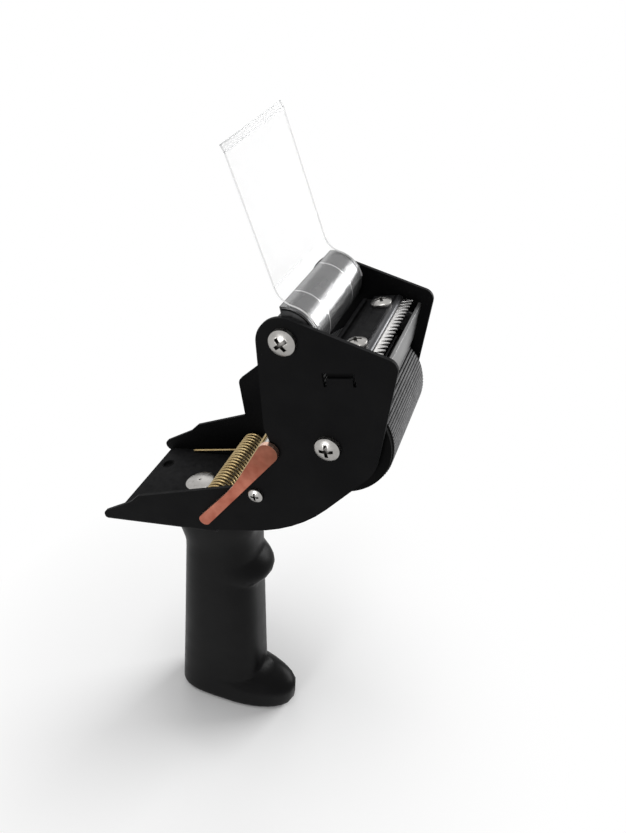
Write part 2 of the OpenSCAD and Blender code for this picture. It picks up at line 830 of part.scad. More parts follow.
module drum_axle_screws() {
  color(steel) lift() both_sides()
    axle_screw(drum, screw_d, screw_head_d, screw_head_h, screw_len, drum_turn);
}

// Clear sheet: a saddle over the drum, an upright and a bent lip
module flap_outline() {
  root = (flap_r + flap_t / 2) * dir(root_angle);
  far = 2 * flap_r;
  difference() {
    circle(r = flap_r + flap_t);
    circle(r = flap_r);
    polygon([[0, 0], far * dir(root_angle), far * dir(root_angle + 60), far * dir(root_angle + 120),
      far * dir(saddle_angle - 90), far * dir(saddle_angle - 45), far * dir(saddle_angle)]);
  }
  translate(root) rotate(flap_angle) {
    translate([0, -flap_t / 2]) square([flap_h, flap_t]);
    translate([flap_h, 0]) circle(r = flap_t / 2);
    translate([flap_h, 0]) rotate(lip_bend) translate([0, -flap_t / 2]) square([lip_len, flap_t]);
  }
}
module wiper_flap() {
  color(clear) lift() translate([drum.x, 0, drum.y]) slab(-tape_w / 2, tape_w) flap_outline();
}

// Place a screw's axis square to the blade, on both sides of the middle
module at_blade_screws() {
  on_deck() for (s = [-1, 1]) translate([blade_screw_u, s * blade_screw_gap / 2, 0]) children();
}

// Cross deck with folded ends whose tabs sit in the sides' slots
module blade_bracket() {
  color(black_paint) difference() {
    union() {
      on_deck() {
        translate([-bracket_rear, -inner_w / 2, -bracket_t / 2])
          cube([bracket_rear + bracket_front, inner_w, bracket_t]);
        translate([-bracket_rear, -tape_w / 2, -bracket_t / 2])
          cube([bracket_t, tape_w, bracket_t + clamp_t]);
      }
      both_sides() on_blade() {
        translate([-tab_w / 2, -inner_w / 2, -bracket_t / 2])
          cube([tab_w, bracket_t, deck_rise + bracket_t / 2]);
        translate([-tab_w / 2, -outer_w / 2, -bracket_t / 2]) cube([tab_w, sheet_t + bracket_t, bracket_t]);
      }
    }
    at_blade_screws() translate([0, 0, -big / 2]) cylinder(r = blade_screw_d / 2 + seat_clear, h = big);
  }
}

// Serrated strip that lies on the bracket
tooth_count = floor(tape_w / tooth_pitch);
teeth_w = tooth_count * tooth_pitch;
root_reach = tip_reach - tooth_len;
strip_front = root_reach - 2 * seat_clear;
clamp_front = strip_front - strip_w - seat_clear;
clamp_rear = clamp_front - clamp_w;
tooth_outline = [
  for (k = [0:tooth_count - 1])
    each [
      [root_reach, -teeth_w / 2 + k * tooth_pitch],
      [tip_reach, -teeth_w / 2 + (k + 0.5) * tooth_pitch]
    ]
];
module cutting_blade() {
  color(steel) difference() {
    on_deck() translate([0, 0, bracket_t / 2]) linear_extrude(blade_t)
      polygon(concat([[clamp_rear, -teeth_w / 2]], tooth_outline,
        [[root_reach, teeth_w / 2], [clamp_rear, teeth_w / 2]]));
    at_blade_screws() translate([0, 0, -big / 2]) cylinder(r = blade_screw_d / 2 + seat_clear, h = big);
  }
}

// Bar under the screws that holds the blade down
module blade_clamp() {
  color(black_paint) difference() {
    on_deck() translate([clamp_rear, -tape_w / 2, bracket_t / 2 + blade_t]) cube([clamp_w, tape_w, clamp_t]);
    at_blade_screws() translate([0, 0, -big / 2]) cylinder(r = blade_screw_d / 2 + seat_clear, h = big);
  }
}

// Strip along the teeth's root, with a bevelled front edge, that the screws' heads hold down
module blade_strip() {
  bevel = clamp_t / 2;
  color(grey_steel) on_deck() translate([strip_front, 0, bracket_t / 2 + blade_t]) slab(-tape_w / 2, tape_w)
    polygon([[-strip_w, 0], [0, 0], [0, clamp_t - bevel], [-bevel, clamp_t], [-strip_w, clamp_t]]);
}

clamp_top = bracket_t / 2 + blade_t + clamp_t;
nut_low = bracket_t / 2 + nut_t;
module blade_screws() {
  color(steel) at_blade_screws() {
    translate([0, 0, clamp_top]) pan_head(blade_head_d, blade_head_h, blade_turn);
    translate([0, 0, -nut_low - eps]) cylinder(r = blade_screw_d / 2, h = nut_low + clamp_top + 2 * eps);
  }
}

module blade_nuts() {
  color(steel) at_blade_screws() translate([0, 0, -nut_low]) difference() {
    cylinder(r = nut_w / sqrt(3), h = nut_t, $fn = 6);
    translate([0, 0, -eps]) cylinder(r = blade_screw_d / 2 + seat_clear, h = nut_t + 2 * eps);
  }
}

// Upright plate between blade and roller, leaning as the plates' front edge does
edge_lean = heading(roller_circle, corner_circle);
front_edge = [corner_x, corner_z] - corner_r * left(edge_lean);
guard_len = (guard_top - front_edge.y) / sin(edge_lean);
guard_face = front_edge + guard_len * dir(edge_lean) + guard_in * left(edge_lean);
// Drop along the guard at which its rear face nears the roller
guard_rel = guard_face + guard_t * left(edge_lean) - roller;
guard_along = guard_rel * dir(edge_lean);
guard_side = guard_rel * left(edge_lean);
guard_h = guard_along - sqrt(pow(roller_r + guard_gap, 2) - guard_side * guard_side);
// Shares of the guard's height at which its end ears start and that they span
ear_start = 0.8;
ear_span = 0.5;
module front_guard() {
  color(grey_steel) lift() translate([guard_face.x, 0, guard_face.y]) rotate([0, -edge_lean, 0]) {
    translate([-guard_h, -inner_w / 2, 0]) cube([guard_h, inner_w, guard_t]);
    both_sides() translate([-guard_h * ear_start, -inner_w / 2, 0])
      cube([guard_h * ear_span, guard_t, guard_t + guard_ear]);
  }
}

// Shaft that turns in both sides with the lever on its end
lever_y = -outer_w / 2 - lever_gap - lever_t;
ring_y = outer_w / 2 + end_gap;
module brake_shaft() {
  start = lever_y + lever_t / 2;
  color(steel) lift() rod(pivot, shaft_d / 2, start, ring_y + ring_t + end_gap - start);
}

lever_head = atan2(bar.y - pivot.y, bar.x - pivot.x);
lever_top = bar - lever_shift * left(lever_head);
hollow = (pivot + bar) / 2 + (hollow_r + hollow_in) * left(lever_head);
lever_outline = belt([
  concat(pivot, lever_w / 2), concat(lever_top, lever_top_w / 2), concat(hollow, -hollow_r)
]);
module brake_lever() {
  color(copper) lift() difference() {
    slab(lever_y, lever_t) polygon(lever_outline);
    rod(bar, bar_d / 2 + seat_clear, lever_y + lever_t / 2, lever_t);
    rod(pivot, shaft_d / 2 + seat_clear, lever_y + lever_t / 2, lever_t);
  }
}

// Bar that the spring presses towards the roller
bar_y = lever_y + lever_t / 2;
module brake_bar() {
  color(steel) lift() rod(bar, bar_d / 2, bar_y, inner_w / 2 - bar_end_gap - bar_y);
}

// Ring that keeps the shaft in place outside the closed side
module shaft_ring() {
  color(steel) lift() ring(pivot, ring_d / 2, shaft_d / 2 + seat_clear, ring_y, ring_t);
}

// Path of the spring's wire: floor leg, curls and a lever leg that bends over the brake bar's rear
curl_r = curl_d / 2;
curl = pivot + [curl_dx, curl_dz];
hook_r = bar_d / 2 + hook_gap + wire_d / 2;
spring_y = inner_w / 2 - spring_gap - wire_d / 2;
hook_y = lever_end_gap + wire_d / 2 - inner_w / 2;
leg_head = heading(concat(curl, curl_r), concat(bar, -hook_r));
last_turn = 360 * curl_count + leg_head - 90;
curl_rings = 8 * curl_count;
leg_tip_x = pivot.x - leg_reach;
leg_tip_z = leg_tip_x * tan(floor_tilt) + (sheet_t + leg_gap + wire_d / 2) / cos(floor_tilt);
floor_head = heading([leg_tip_x, leg_tip_z, 0], concat(curl, curl_r));
first_turn = floor_head - 90;
hook_steps = max(1, ceil(hook_turn / 15));
function on_curl(k) =
  let (a = first_turn + (last_turn - first_turn) * k / curl_rings, p = curl + curl_r * dir(a))
  [p.x, spring_y + (hook_y - spring_y) * k / curl_rings, p.y];
function on_hook(k) =
  let (p = bar + hook_r * left(leg_head - hook_turn * k / hook_steps))
  [p.x, hook_y, p.y];
hook_end = on_hook(hook_steps) + wire_d * [cos(leg_head - hook_turn), 0, sin(leg_head - hook_turn)];
wire_path = concat(
  [for (s = [0, wire_d]) [leg_tip_x + s * cos(floor_head), spring_y, leg_tip_z + s * sin(floor_head)]],
  [for (k = [0:curl_rings]) on_curl(k)],
  [for (k = [0:hook_steps]) on_hook(k)],
  [hook_end]
);

// Six-sided ring of the wire at point i of its path
wire_sides = 6;
function unit(v) = v / norm(v);
function wire_ring(i) =
  let (
    n = len(wire_path),
    along = unit(wire_path[min(i + 1, n - 1)] - wire_path[max(i - 1, 0)]),
    side = unit(cross(along, [0, 1, 0])),
    up = cross(side, along)
  )
  [
    for (k = [0:wire_sides - 1])
      wire_path[i] + wire_d / 2 * (cos(360 * k / wire_sides) * side + sin(360 * k / wire_sides) * up)
  ];

// Least gap of the wire to itself, between points more than half a curl apart
wire_gap = min([
  for (i = [0:len(wire_path) - 6], j = [i + 5:len(wire_path) - 1]) norm(wire_path[i] - wire_path[j])
]) - wire_d;
echo(least_gap_of_spring_to_itself = wire_gap);

module torsion_spring() {
  color(brass) lift() skin([for (i = [0:len(wire_path) - 1]) wire_ring(i)]);
}

main_frame();
floor_plug();
handle_grip();
handle_bolts();
tie_rod();
tie_screws();
front_roller_axle();
front_roller_core();
front_roller_sleeve();
front_roller_washers();
front_axle_screws();
drum_axle();
flap_drum();
drum_bushes();
drum_washers();
drum_axle_screws();
wiper_flap();
blade_bracket();
cutting_blade();
blade_clamp();
blade_strip();
blade_screws();
blade_nuts();
front_guard();
brake_shaft();
brake_lever();
brake_bar();
shaft_ring();
torsion_spring();
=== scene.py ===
import json
from math import asin, atan2, cos, hypot, pi, radians, sin

import bmesh
import bpy
from mathutils import Matrix, Vector

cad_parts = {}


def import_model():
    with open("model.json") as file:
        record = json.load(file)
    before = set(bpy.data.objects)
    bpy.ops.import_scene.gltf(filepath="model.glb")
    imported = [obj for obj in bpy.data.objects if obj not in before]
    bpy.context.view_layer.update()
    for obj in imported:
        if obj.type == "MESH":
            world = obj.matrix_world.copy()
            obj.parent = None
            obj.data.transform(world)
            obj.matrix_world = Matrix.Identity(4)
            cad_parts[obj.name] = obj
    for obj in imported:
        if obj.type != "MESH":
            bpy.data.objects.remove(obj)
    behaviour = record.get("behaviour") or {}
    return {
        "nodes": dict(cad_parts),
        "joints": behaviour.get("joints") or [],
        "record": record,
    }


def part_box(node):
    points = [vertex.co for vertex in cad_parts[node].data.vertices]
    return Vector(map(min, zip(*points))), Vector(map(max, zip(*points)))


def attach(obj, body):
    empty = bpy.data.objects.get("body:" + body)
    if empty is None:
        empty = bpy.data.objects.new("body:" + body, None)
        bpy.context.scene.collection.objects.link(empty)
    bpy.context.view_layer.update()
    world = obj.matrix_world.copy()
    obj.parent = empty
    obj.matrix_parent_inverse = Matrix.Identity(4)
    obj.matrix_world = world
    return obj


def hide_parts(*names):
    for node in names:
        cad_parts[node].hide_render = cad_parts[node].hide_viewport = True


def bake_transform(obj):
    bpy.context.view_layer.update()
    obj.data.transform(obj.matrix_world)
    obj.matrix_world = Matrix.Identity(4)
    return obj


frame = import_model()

MM = 0.001
NODES = frame["nodes"]
JOINTS = {joint["name"]: joint for joint in frame["joints"]}
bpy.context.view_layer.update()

# Faces that meet at more than this angle keep a sharp edge between them
SHARP_ANGLE = radians(32)

# Clear flap's sizes: its root, lean and lip are angles and lengths in the plane square to the hood's axis
FLAP_T = 0.6 * MM
FLAP_WIDTH = 48 * MM
FLAP_ROOT = radians(101.5)
FLAP_LEAN = radians(109.4)
FLAP_HEIGHT = 48.75 * MM
FLAP_SKEW = 1.75 * MM
FLAP_CLEAR = 0.05 * MM
FILLET_R = 8 * MM
SADDLE_END = radians(14)
LIP_LENGTH = 2.4 * MM
LIP_BEND = radians(14)
hood_axis = Vector(JOINTS["flap_swing"]["pos_m"])
hood_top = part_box("flap_drum")[1].z
flap_r = hood_top - hood_axis.z + FLAP_CLEAR + FLAP_T / 2


def direction(angle):
    return Vector((cos(angle), 0, sin(angle)))


def square_left(angle):
    return Vector((-sin(angle), 0, cos(angle)))


# The fillet's circle touches the saddle's circle and the upright, which it meets fillet_rise above the root
flap_up = direction(FLAP_LEAN)
flap_front = -square_left(FLAP_LEAN)
flap_root = flap_r * direction(FLAP_ROOT)
root_up = flap_root.dot(flap_up)
root_front = flap_root.dot(flap_front)
fillet_rise = (root_up ** 2 + 2 * FILLET_R * (flap_r - root_front)) ** 0.5 - root_up
fillet_centre = flap_root + FILLET_R * flap_front + fillet_rise * flap_up


# Small tools for node materials

# Sockets of the mix node that carry colours
MIX_FIRST, MIX_SECOND, MIX_RESULT = 6, 7, 2


class Shader:
    """A node material with a Principled surface, built step by step in object coordinates."""

    def __init__(self, name, colour, roughness, metallic=0.0, specular=0.5):
        self.material = bpy.data.materials.new(name)
        self.material.use_nodes = True
        self.nodes = self.material.node_tree.nodes
        self.links = self.material.node_tree.links
        self.surface = self.nodes["Principled BSDF"]
        self.set("Base Color", (*colour, 1.0))
        self.set("Roughness", roughness)
        self.set("Metallic", metallic)
        self.set("Specular IOR Level", specular)
        self.place = self.nodes.new("ShaderNodeTexCoord").outputs["Object"]

    def set(self, socket, value):
        self.surface.inputs[socket].default_value = value

    def link(self, output, socket):
        self.links.new(output, self.surface.inputs[socket])

    def base_colour(self):
        """What feeds the base colour so far."""
        return self.surface.inputs["Base Color"].links[0].from_socket

    def stretched(self, scale):
        """Object coordinates scaled by a vector, for grain that runs one way."""
        mapping = self.nodes.new("ShaderNodeMapping")
        mapping.inputs["Scale"].default_value = scale
        self.links.new(self.place, mapping.inputs["Vector"])
        return mapping.outputs["Vector"]

    def noise(self, scale, detail, vector=None):
        texture = self.nodes.new("ShaderNodeTexNoise")
        texture.inputs["Scale"].default_value = scale
        texture.inputs["Detail"].default_value = detail
        self.links.new(vector or self.place, texture.inputs["Vector"])
        return texture.outputs["Fac"]

    def cells(self, scale):
        texture = self.nodes.new("ShaderNodeTexVoronoi")
        texture.inputs["Scale"].default_value = scale
        self.links.new(self.place, texture.inputs["Vector"])
        return texture.outputs["Distance"]

    def math(self, operation, first, second=0.0):
        node = self.nodes.new("ShaderNodeMath")
        node.operation = operation
        for slot, value in enumerate((first, second)):
            if isinstance(value, (int, float)):
                node.inputs[slot].default_value = value
            else:
                self.links.new(value, node.inputs[slot])
        return node.outputs[0]

    def axis(self, name):
        """One coordinate of the surface point, in metres."""
        split = self.nodes.new("ShaderNodeSeparateXYZ")
        self.links.new(self.place, split.inputs[0])
        return split.outputs[name]

    def facing(self, name):
        """How far the surface faces along an axis, from 0 to 1."""
        coords = self.nodes.new("ShaderNodeTexCoord")
        split = self.nodes.new("ShaderNodeSeparateXYZ")
        self.links.new(coords.outputs["Normal"], split.inputs[0])
        return self.math("ABSOLUTE", split.outputs[name])

    def between(self, factor, low, high, low_value, high_value):
        """A value that goes from low_value to high_value as the factor goes from low to high."""
        node = self.nodes.new("ShaderNodeMapRange")
        self.links.new(factor, node.inputs["Value"])
        settings = {"From Min": low, "From Max": high, "To Min": low_value, "To Max": high_value}
        for socket, value in settings.items():
            node.inputs[socket].default_value = value
        return node.outputs["Result"]

    def patches(self, scale, detail=3):
        """Noise spread over the whole range from 0 to 1."""
        return self.between(self.noise(scale, detail), 0.35, 0.7, 0.0, 1.0)

    def varied(self, scale, detail, low, high):
        """A value that wanders between low and high."""
        return self.between(self.noise(scale, detail), 0.3, 0.7, low, high)

    def colours(self, factor, first, second):
        node = self.nodes.new("ShaderNodeMix")
        node.data_type = "RGBA"
        self.links.new(factor, node.inputs["Factor"])
        for slot, colour in ((MIX_FIRST, first), (MIX_SECOND, second)):
            if isinstance(colour, tuple):
                node.inputs[slot].default_value = (*colour, 1.0)
            else:
                self.links.new(colour, node.inputs[slot])
        return node.outputs[MIX_RESULT]

    def recess_shade_mask(self, reach):
        """Ambient occlusion mask for painted shade: from 0 deep in a recess to 1 on open surface."""
        node = self.nodes.new("ShaderNodeAmbientOcclusion")
        node.inputs["Distance"].default_value = reach
        node.samples = 8
        node.only_local = True
        return self.between(node.outputs["AO"], 0.35, 0.8, 0.0, 1.0)

    def bump(self, height, depth, strength):
        """Relief whose full height is a depth in metres."""
        node = self.nodes.new("ShaderNodeBump")
        node.inputs["Strength"].default_value = strength
        node.inputs["Distance"].default_value = depth
        self.links.new(height, node.inputs["Height"])
        self.link(node.outputs["Normal"], "Normal")


# Materials


def black_paint():
    """Satin powder coat with a fine orange peel, a painted highlight in patches on the sheet's cut edges and
    other faces that don't face sideways, and painted shade where the frame closes in on itself.
    """
    shader = Shader("black_paint", (0.006, 0.006, 0.0063), roughness=0.5, specular=0.02)
    coat = shader.colours(shader.patches(60, 4), (0.0055, 0.0055, 0.0058), (0.0075, 0.0075, 0.0078))
    # Painted highlight: faces that don't face sideways, the cut edges and the upward faces, are painted
    # lighter in patches.
    off_side_highlight = shader.between(shader.facing("Y"), 0.3, 0.9, 1.0, 0.0)
    patchy_highlight = shader.math("MULTIPLY", off_side_highlight, shader.noise(400, 3))
    paint_with_highlight = shader.colours(patchy_highlight, coat, (0.026, 0.026, 0.027))
    # Painted shade: the colour goes near black where other parts of the frame close a face in, within 80 mm.
    shader.link(shader.colours(shader.recess_shade_mask(80 * MM), (0.001, 0.001, 0.001), paint_with_highlight), "Base Color")
    shader.link(shader.varied(150, 3, 0.42, 0.58), "Roughness")
    shader.bump(shader.noise(2200, 2), 0.03 * MM, 0.35)
    return shader.material


def plastic(name, colour, roughness, specular, tone_scale, dark, light):
    """Plastic whose tone changes in patches from dark to light."""
    shader = Shader(name, colour, roughness, specular=specular)
    shader.link(shader.colours(shader.patches(tone_scale), dark, light), "Base Color")
    return shader


def grip_plastic():
    """Moulded black plastic with a fine spark-eroded grain and a faint handling polish."""
    shader = plastic("grip_plastic", (0.004, 0.004, 0.0042), roughness=0.34, specular=0.05, tone_scale=45,
                     dark=(0.0032, 0.0032, 0.0034), light=(0.0048, 0.0048, 0.005))
    shader.link(shader.varied(80, 3, 0.3, 0.38), "Roughness")
    grain = shader.math("ADD", shader.noise(3200, 3), shader.cells(2600))
    shader.bump(grain, 0.04 * MM, 0.4)
    return shader.material


def black_plastic():
    """Turned black plastic of the roller's discs."""
    shader = plastic("black_plastic", (0.003, 0.003, 0.003), roughness=0.45, specular=0.02, tone_scale=120,
                     dark=(0.0025, 0.0025, 0.0026), light=(0.0042, 0.0042, 0.0043))
    shader.link(shader.varied(300, 3, 0.38, 0.52), "Roughness")
    shader.bump(shader.noise(1500, 2), 0.02 * MM, 0.3)
    return shader.material


def cheek_plastic():
    """Dark grey moulded cheeks in the hood's ends."""
    shader = plastic("cheek_plastic", (0.05, 0.05, 0.05), roughness=0.5, specular=0.1, tone_scale=150,
                     dark=(0.042, 0.042, 0.043), light=(0.06, 0.06, 0.061))
    shader.link(shader.varied(400, 2, 0.42, 0.58), "Roughness")
    shader.bump(shader.noise(1800, 2), 0.02 * MM, 0.3)
    return shader.material


def metal(name, colour, dull, gloss, grain, depth=0.004 * MM, recess_shade_share=0.12):
    """Metal whose colour and gloss vary in fine lines along the grain's long axis, with painted shade
    darkening its recesses.
    """
    low, high = gloss
    shader = Shader(name, colour, roughness=(low + high) / 2, metallic=1.0)
    lines = shader.noise(1.0, 3, shader.stretched(grain))
    clouds = shader.noise(90, 3)
    shade = shader.between(shader.math("ADD", lines, clouds), 0.7, 1.3, 0.0, 1.0)
    tone = shader.colours(shade, dull, colour)
    # Painted shade: deep in recesses the colour falls to a share of the dull tone.
    recess_shade_colour = tuple(recess_shade_share * part for part in dull)
    shader.link(shader.colours(shader.recess_shade_mask(2 * MM), recess_shade_colour, tone), "Base Color")
    shader.link(shader.between(lines, 0.3, 0.7, low, high), "Roughness")
    shader.bump(lines, depth, 0.3)
    return shader


def nickel():
    """Nickel-plated screws with a slight haze."""
    return metal("nickel", (0.42, 0.41, 0.395), dull=(0.33, 0.32, 0.305), gloss=(0.26, 0.36),
                 grain=(500, 500, 500), depth=0.001 * MM).material


def plain_steel():
    """Bare drawn steel."""
    return metal("plain_steel", (0.62, 0.62, 0.63), dull=(0.45, 0.45, 0.46), gloss=(0.25, 0.4),
                 grain=(2500, 60, 2500)).material


def blade_steel():
    """Ground strip: the grinding lines run from back to tip."""
    return metal("blade_steel", (0.78, 0.77, 0.76), dull=(0.55, 0.54, 0.53), gloss=(0.18, 0.32),
                 grain=(150, 3500, 150)).material


def grey_steel():
    """Plated guard and clamp, dull grey."""
    return metal("grey_steel", (0.25, 0.25, 0.25), dull=(0.18, 0.18, 0.18), gloss=(0.34, 0.5),
                 grain=(1800, 60, 1800)).material


def dark_strip():
    """Dark strip behind the teeth."""
    return metal("dark_strip", (0.10, 0.10, 0.105), dull=(0.06, 0.06, 0.063), gloss=(0.3, 0.45),
                 grain=(1800, 60, 1800)).material


def bright_chrome():
    """Satin chrome hood with two thin paler lines round it."""
    shader = metal("bright_chrome", (0.125, 0.125, 0.127), dull=(0.105, 0.105, 0.107), gloss=(0.2, 0.26),
                   grain=(60, 900, 60), depth=0.0005 * MM)
    shader.set("Metallic", 0.6)
    pale_line_y = 12.3 * MM
    pale_line_width = 0.4 * MM
    across = shader.math("ABSOLUTE", shader.axis("Y"))
    offset = shader.math("ABSOLUTE", shader.math("SUBTRACT", across, pale_line_y))
    plain = shader.between(offset, 0.3 * pale_line_width, pale_line_width, 0.0, 1.0)
    shader.link(shader.colours(plain, (0.6, 0.6, 0.6), shader.base_colour()), "Base Color")
    return shader.material


def roller_rubber():
    """Grey ribbed rubber in patchy tones, with painted shade in the grooves between the ribs."""
    shader = Shader("roller_rubber", (0.14, 0.14, 0.142), roughness=0.6, specular=0.03)
    low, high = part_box("front_roller_sleeve")
    axis = (low + high) / 2
    top = (high.z - low.z) / 2
    groove_depth = 0.7 * MM
    across = shader.math("SUBTRACT", shader.axis("X"), axis.x)
    up = shader.math("SUBTRACT", shader.axis("Z"), axis.z)
    square = shader.math("ADD", shader.math("POWER", across, 2), shader.math("POWER", up, 2))
    radius = shader.math("SQRT", square)
    rib = shader.between(radius, top - 0.4 * groove_depth, top - 0.1 * groove_depth, 0.0, 1.0)
    land = shader.colours(shader.patches(260, 4), (0.12, 0.12, 0.122), (0.175, 0.175, 0.178))
    # Painted shade: the grooves between the ribs are painted near black.
    shader.link(shader.colours(rib, (0.003, 0.003, 0.003), land), "Base Color")
    shader.link(shader.varied(500, 2, 0.5, 0.7), "Roughness")
    shader.bump(shader.noise(2500, 2), 0.03 * MM, 0.3)
    return shader.material


def clear_sheet():
    """Clear thin sheet: nearly invisible face on, denser along its rims, its lip and its bend's start, with
    a painted reflection in near white over the saddle.
    """
    clear = (0.3, 0.305, 0.31)
    pale = (0.95, 0.95, 0.95)
    lip_line = 0.45 * MM
    bend_line = 0.35 * MM
    lip_start = 0.3 * MM
    shader = Shader("clear_sheet", clear, roughness=0.08, specular=0.2)
    x = shader.math("SUBTRACT", shader.axis("X"), (hood_axis + flap_root).x)
    z = shader.math("SUBTRACT", shader.axis("Z"), (hood_axis + flap_root).z)
    height = shader.math("ADD", shader.math("MULTIPLY", x, flap_up.x), shader.math("MULTIPLY", z, flap_up.z))
    skew = shader.math("MULTIPLY", shader.axis("Y"), 2 * FLAP_SKEW / FLAP_WIDTH)
    past_top = shader.math("SUBTRACT", height, shader.math("ADD", skew, FLAP_HEIGHT))

    def line(factor, place, width):
        offset = shader.math("ABSOLUTE", shader.math("SUBTRACT", factor, place))
        return shader.between(offset, 0.4 * width, width, 1.0, 0.0)

    # Painted reflection: the sheet's colour goes from near white at the saddle's start to clear at the bend,
    # and its rims are more opaque over the saddle.
    saddle = shader.between(height, 0.0, fillet_rise, 1.0, 0.0)
    shader.link(shader.colours(saddle, clear, pale), "Base Color")
    density = shader.varied(70, 3, 0.025, 0.05)
    side_face = shader.between(shader.facing("Y"), 0.5, 0.9, 0.0, 1.0)
    rim = shader.math("MULTIPLY", side_face, shader.between(saddle, 0.0, 1.0, 0.25, 0.8))
    lip = shader.between(past_top, 0.0, lip_start, 0.0, 0.10)
    fold = shader.math("MULTIPLY", line(past_top, 0.0, lip_line), 0.3)
    edge = shader.math("MULTIPLY", line(past_top, LIP_LENGTH, lip_line), 0.45)
    near_half = shader.between(shader.axis("Y"), -0.1 * FLAP_WIDTH, 0.3 * FLAP_WIDTH, 0.16, 0.0)
    bend = shader.math("MULTIPLY", line(height, fillet_rise, bend_line), near_half)
    for part in (rim, lip, fold, edge, bend):
        density = shader.math("ADD", density, part)
    shader.link(density, "Alpha")
    shader.link(shader.varied(120, 2, 0.04, 0.12), "Roughness")
    shader.bump(shader.noise(60, 1), 0.02 * MM, 0.15)
    return shader.material


def copper_lever():
    """Copper-washed steel, drawn lengthwise, with a painted highlight in patches along its bevelled edges
    and painted shade in dark brown towards its upper end.
    """
    shader = metal("copper_lever", (0.46, 0.17, 0.115), dull=(0.33, 0.095, 0.06), gloss=(0.3, 0.45),
                   grain=(300, 2500, 300))
    low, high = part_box("brake_lever")
    # Painted shade: the upper part is painted dark brown towards the top, in patches.
    top_part = shader.between(shader.axis("Z"), 0.45 * low.z + 0.55 * high.z, high.z, 0.0, 1.0)
    shade_patches = shader.between(shader.noise(120, 3), 0.3, 0.6, 0.5, 1.0)
    upper_shade = shader.math("MULTIPLY", top_part, shade_patches)
    face = shader.colours(upper_shade, shader.base_colour(), (0.14, 0.055, 0.033))
    # Painted highlight: the bevelled rims are painted lighter in patches.
    rim = shader.between(shader.facing("Y"), 0.7, 0.99, 1.0, 0.0)
    highlight_patches = shader.between(shader.noise(300, 3), 0.3, 0.6, 0.5, 1.0)
    patchy_highlight = shader.math("MULTIPLY", rim, highlight_patches)
    shader.link(shader.colours(patchy_highlight, face, (0.62, 0.40, 0.31)), "Base Color")
    return shader.material


def yellow_zinc():
    """Yellow-passivated spring wire, with a milder painted shade between its coils."""
    return metal("yellow_zinc", (0.46, 0.36, 0.19), dull=(0.36, 0.26, 0.12), gloss=(0.28, 0.42),
                 grain=(700, 700, 700), recess_shade_share=0.4).material


MAKERS = [black_paint, grip_plastic, black_plastic, cheek_plastic, nickel, plain_steel, blade_steel,
          grey_steel, dark_strip, bright_chrome, roller_rubber, clear_sheet, copper_lever, yellow_zinc]
MATERIALS = {maker.__name__: maker() for maker in MAKERS}


# CAD nodes: materials, soft shading and small edge bevels


def paint(piece, slot):
    piece.data.materials.clear()
    piece.data.materials.append(MATERIALS[slot])


# Bevel widths in millimetres
BEVELS = {"main_frame": 0.25, "blade_clamp": 0.15, "front_guard": 0.2, "brake_lever": 0.7,
          "blade_bracket": 0.15, "front_roller_core": 0.3, "handle_bolts": 0.2, "front_axle_screws": 0.2,
          "drum_axle_screws": 0.2, "tie_screws": 0.15, "blade_screws": 0.15, "brake_bar": 0.2}
BEVEL_FROM = radians(40)
WELD_REACH = 0.002 * MM
# Nodes whose look differs from that of their material's other nodes
LOOKS = {"blade_strip": "dark_strip", "drum_bushes": "cheek_plastic"}
for part in frame["record"]["subparts"]:
    piece = NODES[part["node"]]
    paint(piece, LOOKS.get(part["node"], part["material_slot"]))
    weld = piece.modifiers.new("weld", "WELD")
    weld.merge_threshold = WELD_REACH
    if part["node"] in BEVELS:
        bevel = piece.modifiers.new("bevel", "BEVEL")
        bevel.width = BEVELS[part["node"]] * MM
        bevel.segments = 2
        bevel.limit_method = "ANGLE"
        bevel.angle_limit = BEVEL_FROM
        bevel.harden_normals = True
    piece.data.shade_smooth()
    piece.data.set_sharp_from_angle(angle=SHARP_ANGLE)
    normals = piece.modifiers.new("flat faces stay flat", "WEIGHTED_NORMAL")
    normals.keep_sharp = True


def smooth_object(name, mesh):
    """Object made from a bmesh, with its faces turned outward and shaded smooth."""
    bmesh.ops.recalc_face_normals(mesh, faces=mesh.faces)
    data = bpy.data.meshes.new(name)
    mesh.to_mesh(data)
    mesh.free()
    data.shade_smooth()
    piece = bpy.data.objects.new(name, data)
    bpy.context.scene.collection.objects.link(piece)
    return piece


# Spring: round wire along a path of curls and legs of its own, in place of the CAD spring

WIRE_D = 1.3 * MM
WIRE_SIDES = 12
CURL_R = 4.6 * MM
CURL_COUNT = 22
CURL_SHIFT = Vector((-1.7 * MM, 0, 0.5 * MM))
RINGS_PER_CURL = 24
LEG_REACH = 34.8 * MM
HOOK_GAP = 0.35 * MM
HOOK_TURN = radians(25)
HOOK_STEPS = 6

pivot = Vector(JOINTS["brake_swing"]["pos_m"])
bar_low, bar_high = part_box("brake_bar")
bar_d = bar_high.z - bar_low.z
bar = (bar_low + bar_high) / 2
bar.y = 0
spring_low, spring_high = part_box("torsion_spring")
far_y = spring_high.y - WIRE_D / 2
hook_y = spring_low.y + WIRE_D / 2


def heading(a, a_r, b, b_r):
    """Heading of the straight wire that leaves circle a and meets circle b."""
    d = b - a
    return atan2(d.z, d.x) - asin((b_r - a_r) / hypot(d.x, d.z))


